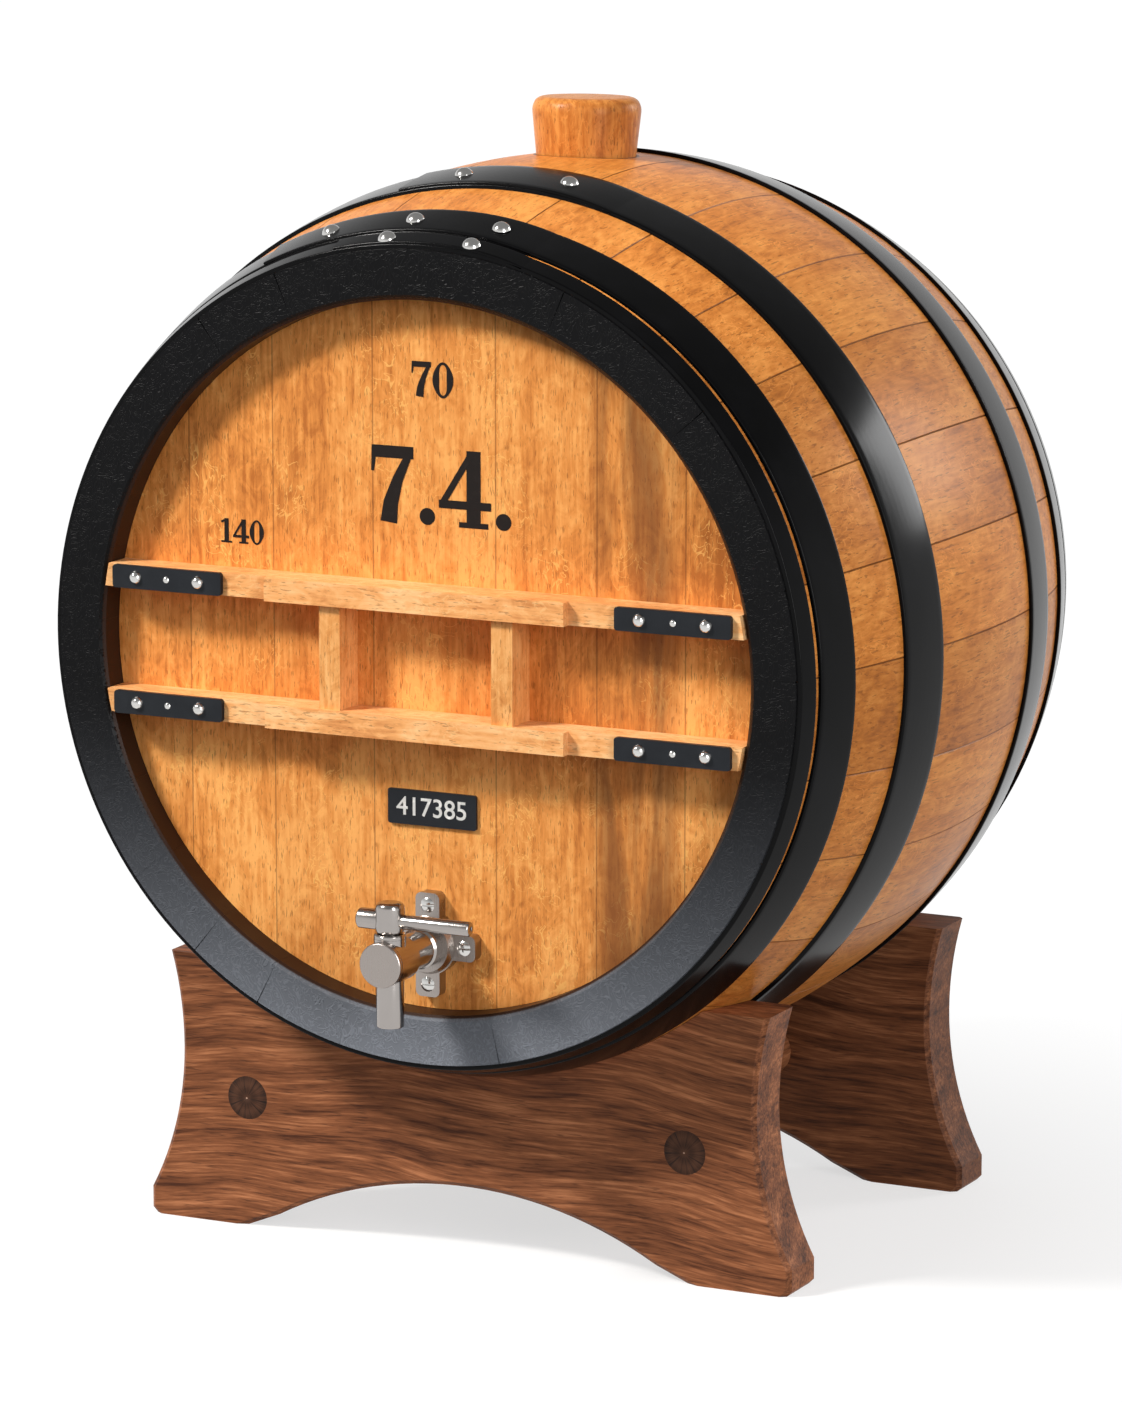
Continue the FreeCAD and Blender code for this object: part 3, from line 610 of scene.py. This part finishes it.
head_tones = ((0.46, 0.146, 0.030), (0.74, 0.280, 0.064), (0.93, 0.43, 0.125))
shelf_tones = ((0.60, 0.232, 0.072), (0.86, 0.405, 0.145), (0.95, 0.565, 0.265))
divider_tones = ((0.50, 0.18, 0.046), (0.72, 0.31, 0.09), (0.88, 0.46, 0.17))
bung_tones = ((0.32, 0.096, 0.017), (0.50, 0.160, 0.029), (0.68, 0.27, 0.062))
oak_head = oak("head_oak", upright, *head_tones, seed=3.0, shade=head_shade)
oak_shelf = oak("shelf_oak", sideways, *shelf_tones, seed=8.0, fleck=0.3)
oak_divider = oak("divider_oak", upright, *divider_tones, seed=5.0, fleck=0.3)
oak_bung = oak("bung_oak", upright, *bung_tones, seed=11.0, fleck=0.4)
black_hoop = gloss_black("hoop_paint")
plate_paint = slate_paint("plate_paint")
bright = steel("polished_steel", turned_marks, (0.66, 0.65, 0.63), 0.12)
tap_turned = steel("tap_turned_steel", turned_marks)
tap_upright = steel("tap_upright_steel", upright_marks)
tap_cross = steel("tap_cross_steel", cross_marks)
tap_plate = steel("tap_plate_steel", cross_marks, (0.37, 0.33, 0.305), 0.24)
seal = rubber("seal_rubber")
# Painted shade: the rear board's walnut is drawn at 0.65 and the rails' at 0.9 of the front board's
# brightness, for the shade under and behind the cask.
board_walnut = walnut("cradle_walnut", sideways, 2.0)
shaded_rear_walnut = walnut("shaded_rear_cradle_walnut", sideways, 17.0, 0.65)
plug_walnut = end_grain("plug_walnut", plug_place, 1.0)
rail_walnut = walnut("rail_walnut", lengthwise, 9.0, 0.9)

FINISH = {
    "rear_head": oak_head,
    "front_head": oak_head,
    "upper_shelf_slat": oak_shelf,
    "lower_shelf_slat": oak_shelf,
    "left_divider": oak_divider,
    "right_divider": oak_divider,
    "shelf_plates": plate_paint,
    "number_plate": plate_paint,
    "tap_flange": tap_plate,
    "tap_body": tap_turned,
    "tap_plug": tap_upright,
    "tap_gasket": seal,
    "flange_screws": bright,
    "front_cradle_board": board_walnut,
    "rear_cradle_board": shaded_rear_walnut,
    "left_rail": rail_walnut,
    "right_rail": rail_walnut,
    "cover_plugs": plug_walnut,
}


def paint(node, material):
    """Gives a node's own solid its finish."""
    mesh = NODES[node].data
    mesh.materials.clear()
    mesh.materials.append(material)


for node, material in FINISH.items():
    paint(node, material)

# Staves: the wide one on top keeps its solid, and the others' widths follow the same wave as the cask's own
plain_staves = sorted(n for n in NODES if n.startswith("stave_"))
bung_sweep = 20.0
width_wave, wave_step = 0.08, 2.4
shares = 1 + width_wave * np.sin(wave_step * np.arange(len(plain_staves)))
sweeps = shares * (360.0 - bung_sweep) / shares.sum()
starts = bung_sweep / 2 + np.concatenate([[0], np.cumsum(sweeps)[:-1]])
tones = np.random.default_rng(7).uniform(0.88, 1.06, len(plain_staves) + 1)
for node, start, sweep, tone in zip(plain_staves, starts, sweeps, tones):
    wood = stave_finish(node + "_oak", 13 * tone + start, tone, start, sweep)
    stave_piece(node + "_wood", node, start, sweep, wood)
paint("bung_stave", stave_finish("bung_stave_oak", 5.0, 0.98, -bung_sweep / 2, bung_sweep, hole=True))

# Hoops: laps and rivets in degrees from the top, spans in mm from the cask's end
LAPS = {"chime_hoop": (-13.0, 16.0), "quarter_hoop": (-26.0, 15.0), "bilge_hoop": (-13.0, 17.0)}
RIVETS = {"chime_hoop": (-5.1, 7.6), "quarter_hoop": (-16.4, -3.7, 8.9), "bilge_hoop": (-5.7, 8.9)}
SPANS = {
    kind: tuple((np.array([low("front_" + kind)[1], high("front_" + kind)[1]]) - front_y) / MM)
    for kind in LAPS
}
rear_turn = -65.0
rivet_places = []
for kind, lap in LAPS.items():
    rear_lap = (lap[0] + rear_turn, lap[1] + rear_turn)
    hoop_piece("front_" + kind + "_strip", "front_" + kind, False, SPANS[kind], lap, black_hoop)
    hoop_piece("rear_" + kind + "_strip", "rear_" + kind, True, SPANS[kind], rear_lap, black_hoop)
    middle = sum(SPANS[kind]) / 2 * MM
    slope = math.asin((cask_length / 2 - middle) / bend_radius)
    grip = hoop_gauge + lap_gauge
    reach = outer_radius(front_y + middle) + grip * math.cos(slope)
    for mirror, turn in ((False, 0.0), (True, rear_turn)):
        for angle in RIVETS[kind]:
            x, z = on_circle(reach, angle + turn)
            nx, nz = on_circle(math.cos(slope), angle + turn)
            ny = math.sin(slope) * (1 if mirror else -1)
            shift = grip * math.sin(slope)
            y = rear_y - middle + shift if mirror else front_y + middle - shift
            rivet_places.append(((x, y, z), (nx, ny, nz - axis_z)))
domes("rivet_heads", "cask", "hoop_rivets", rivet_places, radius=4.4 * MM, height=3.0 * MM, material=bright)

# Shelf nails
plate_face = low("shelf_plates")[1]
half_slat = 5.5 * MM
slat_heights = [low(name)[2] + half_slat for name in ("upper_shelf_slat", "lower_shelf_slat")]
forwards = (0, -1, 0)


def on_plates(*offsets):
    """A place and a direction on each plate for every offset in mm from the cask's middle."""
    spots = [(side * x * MM, z) for z in slat_heights for side in (-1, 1) for x in offsets]
    return [((x, plate_face, z), forwards) for x, z in spots]


domes("nail_heads", "cask", "plate_nails", on_plates(115, 148.5), 3.2 * MM, 2.6 * MM, bright)
domes("pin_heads", "cask", "plate_nails", on_plates(132), 1.7 * MM, 0.9 * MM, bright)

# Plain numbers in the marks' places


def stroke(path, width, place, height, thickness):
    """A flat pen stroke on a face that looks forwards: a path of (x, z) points in units of height, widened
    to both sides by half of width, given a thickness, and closed at both ends."""
    path = np.asarray(path, float)
    if len(path) == 2:
        path = path[0] + np.linspace(0, 1, 5)[:, None] * (path[1] - path[0])
    widths = np.atleast_1d(width)
    width = np.interp(np.linspace(0, 1, len(path)), np.linspace(0, 1, len(widths)), widths)
    along = np.gradient(path, axis=0)
    along /= np.linalg.norm(along, axis=1)[:, None]
    side = np.stack([-along[:, 1], along[:, 0]], -1) * width[:, None] / 2
    left, right = path + side, path - side
    corners = [(left, 0), (right, 0), (right, 1), (left, 1), (left, 0)]
    grid = np.empty((len(path), 5, 3))
    for n, (edge, deep) in enumerate(corners):
        grid[:, n, 0] = place[0] + edge[:, 0] * height
        grid[:, n, 1] = place[1] - thickness / 2 + deep * thickness
        grid[:, n, 2] = place[2] + edge[:, 1] * height
    ends = [np.repeat(grid[n].mean(0)[None, None], 5, 1) for n in (0, -1)]
    return np.concatenate([ends[0], grid, ends[1]])


def oval(middle, reach, turn):
    """Points round an ellipse: its middle plus its reach times the cosine and the sine of the turn."""
    return np.stack([middle[0] + reach[0] * np.cos(turn), middle[1] + reach[1] * np.sin(turn)], -1)


whole_turn = np.linspace(0, 2 * np.pi, 49)
half_turn = whole_turn[:25]
serif = 0.07
FIGURES = {
    "0": [(oval((0.31, 0.5), (0.225, 0.475), whole_turn), 0.075 + 0.135 * np.cos(whole_turn) ** 4)],
    "1": [
        ([(0.30, 0.03), (0.30, 1.0)], 0.20),
        ([(0.05, 0.035), (0.55, 0.035)], serif),
        ([(0.06, 0.84), (0.30, 0.96)], 0.09),
    ],
    "4": [
        ([(0.50, 0.03), (0.50, 1.0)], 0.20),
        ([(0.29, 0.035), (0.71, 0.035)], serif),
        ([(0.48, 0.98), (0.05, 0.30)], 0.085),
        ([(0.00, 0.29), (0.75, 0.29)], 0.105),
    ],
    "7": [
        ([(0.05, 0.92), (0.65, 0.92)], 0.16),
        ([(0.085, 0.99), (0.055, 0.66)], (0.08, 0.04)),
        ([(0.60, 0.93), (0.42, 0.56), (0.32, 0.26), (0.29, 0.0)], (0.09, 0.15, 0.21, 0.24)),
    ],
    ".": [(oval((0.13, 0.11), (-0.11, 0.0), half_turn), 0.22 * np.sin(half_turn))],
}
ADVANCE = {"0": 0.68, "1": 0.60, "4": 0.80, "7": 0.72, ".": 0.30}


def numbers(name, text, place, height, thickness, material):
    """A row of figures with serifs on a face that looks forwards, centred on place. Each stroke of a figure
    lies a hair in front of the one before."""
    last_space = 0.06
    stroke_step = 0.02 * MM
    spread = sum(ADVANCE[figure] for figure in text) - last_space
    x = place[0] - spread * height / 2
    grids = []
    for figure in text:
        for order, (path, width) in enumerate(FIGURES[figure]):
            corner = (x, place[1] - order * stroke_step, place[2] - height / 2)
            grids.append(stroke(path, width, corner, height, thickness))
        x += ADVANCE[figure] * height
    surface(name, "cask", grids, material, smooth=False)


def plate_figures(name, text, place, height, thickness, material):
    """Plain upright figures for the plate, from the built-in lettering, centred on place."""
    figure_share = 0.69
    curve = bpy.data.curves.new(name, "FONT")
    curve.body = text
    curve.align_x = "CENTER"
    curve.align_y = "CENTER"
    curve.size = height / figure_share
    curve.offset = 0.10 * MM
    curve.extrude = thickness / 2
    holder = bpy.data.objects.new(name + "_text", curve)
    bpy.context.scene.collection.objects.link(holder)
    bpy.context.view_layer.update()
    mesh = bpy.data.meshes.new_from_object(holder.evaluated_get(bpy.context.evaluated_depsgraph_get()))
    bpy.data.objects.remove(holder)
    mesh.name = name
    upright_turn = mathutils.Matrix.Rotation(math.radians(90), 4, "X")
    mesh.transform(mathutils.Matrix.Translation(place) @ upright_turn)
    mesh.materials.clear()
    finished(name, mesh, "cask", material, smooth=False, weld=0.002 * MM)


def ink(name, colour, roughness):
    """Stamped ink: dark, a little uneven where the grain takes it."""
    f = Finish(name)
    blot = f.noise(f.place, 260.0, 4.0, 0.65)
    tone = f.mix(blot.clipped(0.52, 0.72) * 0.35, colour, scaled(colour, 2.2))
    return f.surface(tone, roughness + blot * 0.15, f.bump(blot, 0.15, 0.1 * MM), level=0.12)


mark_ink = ink("mark_ink", (0.012, 0.009, 0.008), 0.42)
plate_ink = ink("plate_ink", (0.62, 0.62, 0.60), 0.4)
mark_y = head_front_y - 0.08 * MM
mark_gauge, plate_mark_gauge = 0.2 * MM, 0.15 * MM
for name, text, x, z, height in [
    ("top_number", "70", 0, 130.2, 16.4),
    ("large_number", "7.4.", 4, 80.0, 36.0),
    ("side_number", "140", -101, 51.8, 11.5),
]:
    place = (x * MM, mark_y, axis_z + z * MM)
    numbers(name, text, place, height * MM, mark_gauge, mark_ink)
plate_low, plate_high = low("number_plate"), high("number_plate")
plate_middle = (0, plate_low[1] - 0.05 * MM, (plate_low[2] + plate_high[2]) / 2)
plate_figures("plate_number", "417385", plate_middle, 8.6 * MM, plate_mark_gauge, plate_ink)

# Turned pieces: profiles of (radius, distance along the axis) in mm


def profile(*points):
    return np.array(points) * MM


up, inwards, left, right = (0, 0, 1), (0, 1, 0), (-1, 0, 0), (1, 0, 0)

# Bung: a straight taper with a rounded top, leaning with the bulge
bung_slope = math.asin((middle_y - bung_y) / bend_radius)
bung_base = (0, bung_y, axis_z + outer_radius(bung_y))
bung_axis = (0, -math.sin(bung_slope), math.cos(bung_slope))
bung_profile = profile((0, -24), (22.3, -24), (24.3, 0), (26.5, 21.5), (25.0, 25.4), (22.0, 27.0), (0, 27.0))
turned("bung_turning", "bung", "bung", bung_profile, bung_base, bung_axis, oak_bung, 96, 2.4 * MM)

# Tap: cap, spout and bonnet stay on the cask, and knob, bar and nut turn with the handle
cap_front = (0, low("tap_end_cap")[1], tap_axis_z)
cap_profile = profile((0, 0), (10.1, 0), (10.7, 0.6), (10.7, 2.95), (0, 2.95))
turned("end_cap_disc", "cask", "tap_end_cap", cap_profile, cap_front, inwards, tap_plate, 96, 0.25 * MM)
spindle = (0, tap_y, tap_axis_z)
spout_outside = ((4.7, -31), (6.2, -31), (6.5, -30.6), (6.5, -6.2), (4.7, -6.2))
spout_profile = profile((4.7, -8), *spout_outside, (4.7, -8))
turned("spout_tube", "cask", "tap_spout", spout_profile, spindle, up, tap_upright, 64, 0.2 * MM)
bonnet_outside = ((6, 8.4), (6, 11.2), (7.6, 11.2), (7.6, 12.8), (7, 13.4), (4.1, 13.4))
bonnet_profile = profile((4.1, 8.4), *bonnet_outside, (4.1, 8.4))
turned("bonnet_collar", "cask", "tap_bonnet", bonnet_profile, spindle, up, tap_upright, 64, 0.2 * MM)
knob_profile = profile((0, 13.6), (6.1, 13.6), (6.9, 15.6), (6.9, 26.0), (6.2, 27.5), (4.7, 28.2), (0, 28.2))
turned("handle_knob", "tap_handle", "handle_head", knob_profile, spindle, up, tap_upright, 64, 0.5 * MM)
rod_centre = (0, tap_y, tap_axis_z + 19.4 * MM)
rod_profile = profile((0, 5.0), (3.5, 5.0), (3.5, 41.4), (2.9, 42.0), (1.6, 42.0), (0, 41.0))
turned("handle_bar", "tap_handle", "handle_rod", rod_profile, rod_centre, right, tap_cross, 48, 0.25 * MM)
nut_profile = profile((0, 4.5), (4.9, 4.5), (4.9, 15.2), (3.9, 16.2), (0, 16.2))
turned("handle_end", "tap_handle", "handle_nut", nut_profile, rod_centre, left, tap_cross, 48, 0.35 * MM)

# Studio
floor_half = 8
floor_corners = [(x * floor_half, y * floor_half, 0) for x, y in ((-1, -1), (1, -1), (1, 1), (-1, 1))]
floor_mesh = bpy.data.meshes.new("floor")
floor_mesh.from_pydata(floor_corners, [], [(0, 1, 2, 3)])
floor = bpy.data.objects.new("floor", floor_mesh)
bpy.context.scene.collection.objects.link(floor)


def background_rays(f):
    """1 for the rays that meet the background: from the camera, off a gloss and through clear things."""
    kinds = ("Camera", "Glossy", "Transmission")
    camera, gloss, clear = (f.node("ShaderNodeLightPath", {}, {}, "Is " + kind + " Ray") for kind in kinds)
    return camera.apply("MAXIMUM", gloss).apply("MAXIMUM", clear)


def pale_floor():
    """A plain floor: near the object it is grey and takes its shadow, further out it glows to white for the
    background's rays."""
    f = Finish("pale_floor")
    x, y, _ = f.xyz()
    far = (x * x + y * y).apply("SQRT").clipped(0.20, 0.55)
    glow = background_rays(f) * (0.64 + far * 0.38)
    return f.surface(f.mix(far, (0.36, 0.36, 0.36), (0.03, 0.03, 0.03)), 0.6, level=0.0, glow=glow)


floor_mesh.materials.append(pale_floor())


sky_strength = 0.36


def studio_world():
    """An even pale sky. Where it is seen or mirrored it is white at the horizon and dimmer overhead."""
    world = bpy.data.worlds.new("studio")
    f = Finish("studio", world)
    height = f.xyz(f.node("ShaderNodeTexCoord", {}, {}, "Generated"))[2]
    white = 1 - height.clipped(0.12, 0.55) * 0.70
    strength = background_rays(f) * (white - sky_strength) + sky_strength
    sky = f.node("ShaderNodeBackground", {}, {"Color": (1.0, 1.0, 1.0), "Strength": strength})
    f.node("ShaderNodeOutputWorld", {}, {"Surface": sky}, None)
    return world


bpy.context.scene.world = studio_world()


def lamp(name, place, aim, size, watts, tint=(1, 1, 1)):
    """A flat lamp that faces its aim and isn't seen itself."""
    light = bpy.data.lights.new(name, "AREA")
    light.shape = "RECTANGLE"
    light.size, light.size_y = size
    light.energy = watts
    light.color = tint
    holder = bpy.data.objects.new(name, light)
    bpy.context.scene.collection.objects.link(holder)
    holder.location = place
    holder.visible_camera = False
    away = mathutils.Vector(place) - mathutils.Vector(aim)
    holder.rotation_euler = away.to_track_quat("Z", "Y").to_euler()


target = (0.0, 0.0, 0.30)
lamp("key", (-1.4, -1.45, 2.0), target, (0.45, 0.45), 84, (1.0, 0.97, 0.93))
lamp("fill", (1.9, -1.3, 0.9), target, (0.7, 1.6), 26)
lamp("back", (1.35, 1.80, 1.0), target, (0.6, 0.7), 14)

# Camera at the photograph's angle
camera_data = bpy.data.cameras.new("camera")
camera = bpy.data.objects.new("camera", camera_data)
bpy.context.scene.collection.objects.link(camera)
turn, rise, distance = math.radians(26.12), math.radians(10.87), 3.0938
aim = mathutils.Vector((-0.0116, 0.0320, 0.2464))
back = mathutils.Vector((math.sin(turn) * math.cos(rise), -math.cos(turn) * math.cos(rise), math.sin(rise)))
camera.location = aim + distance * back
camera.rotation_euler = back.to_track_quat("Z", "Y").to_euler()
camera_data.sensor_fit = "HORIZONTAL"
sensor_width = 36.0
picture_width, focal_length = 1122, 6304
camera_data.sensor_width = sensor_width
camera_data.lens = focal_length / picture_width * sensor_width
bpy.context.scene.camera = camera
bpy.context.scene.view_settings.view_transform = "Standard"
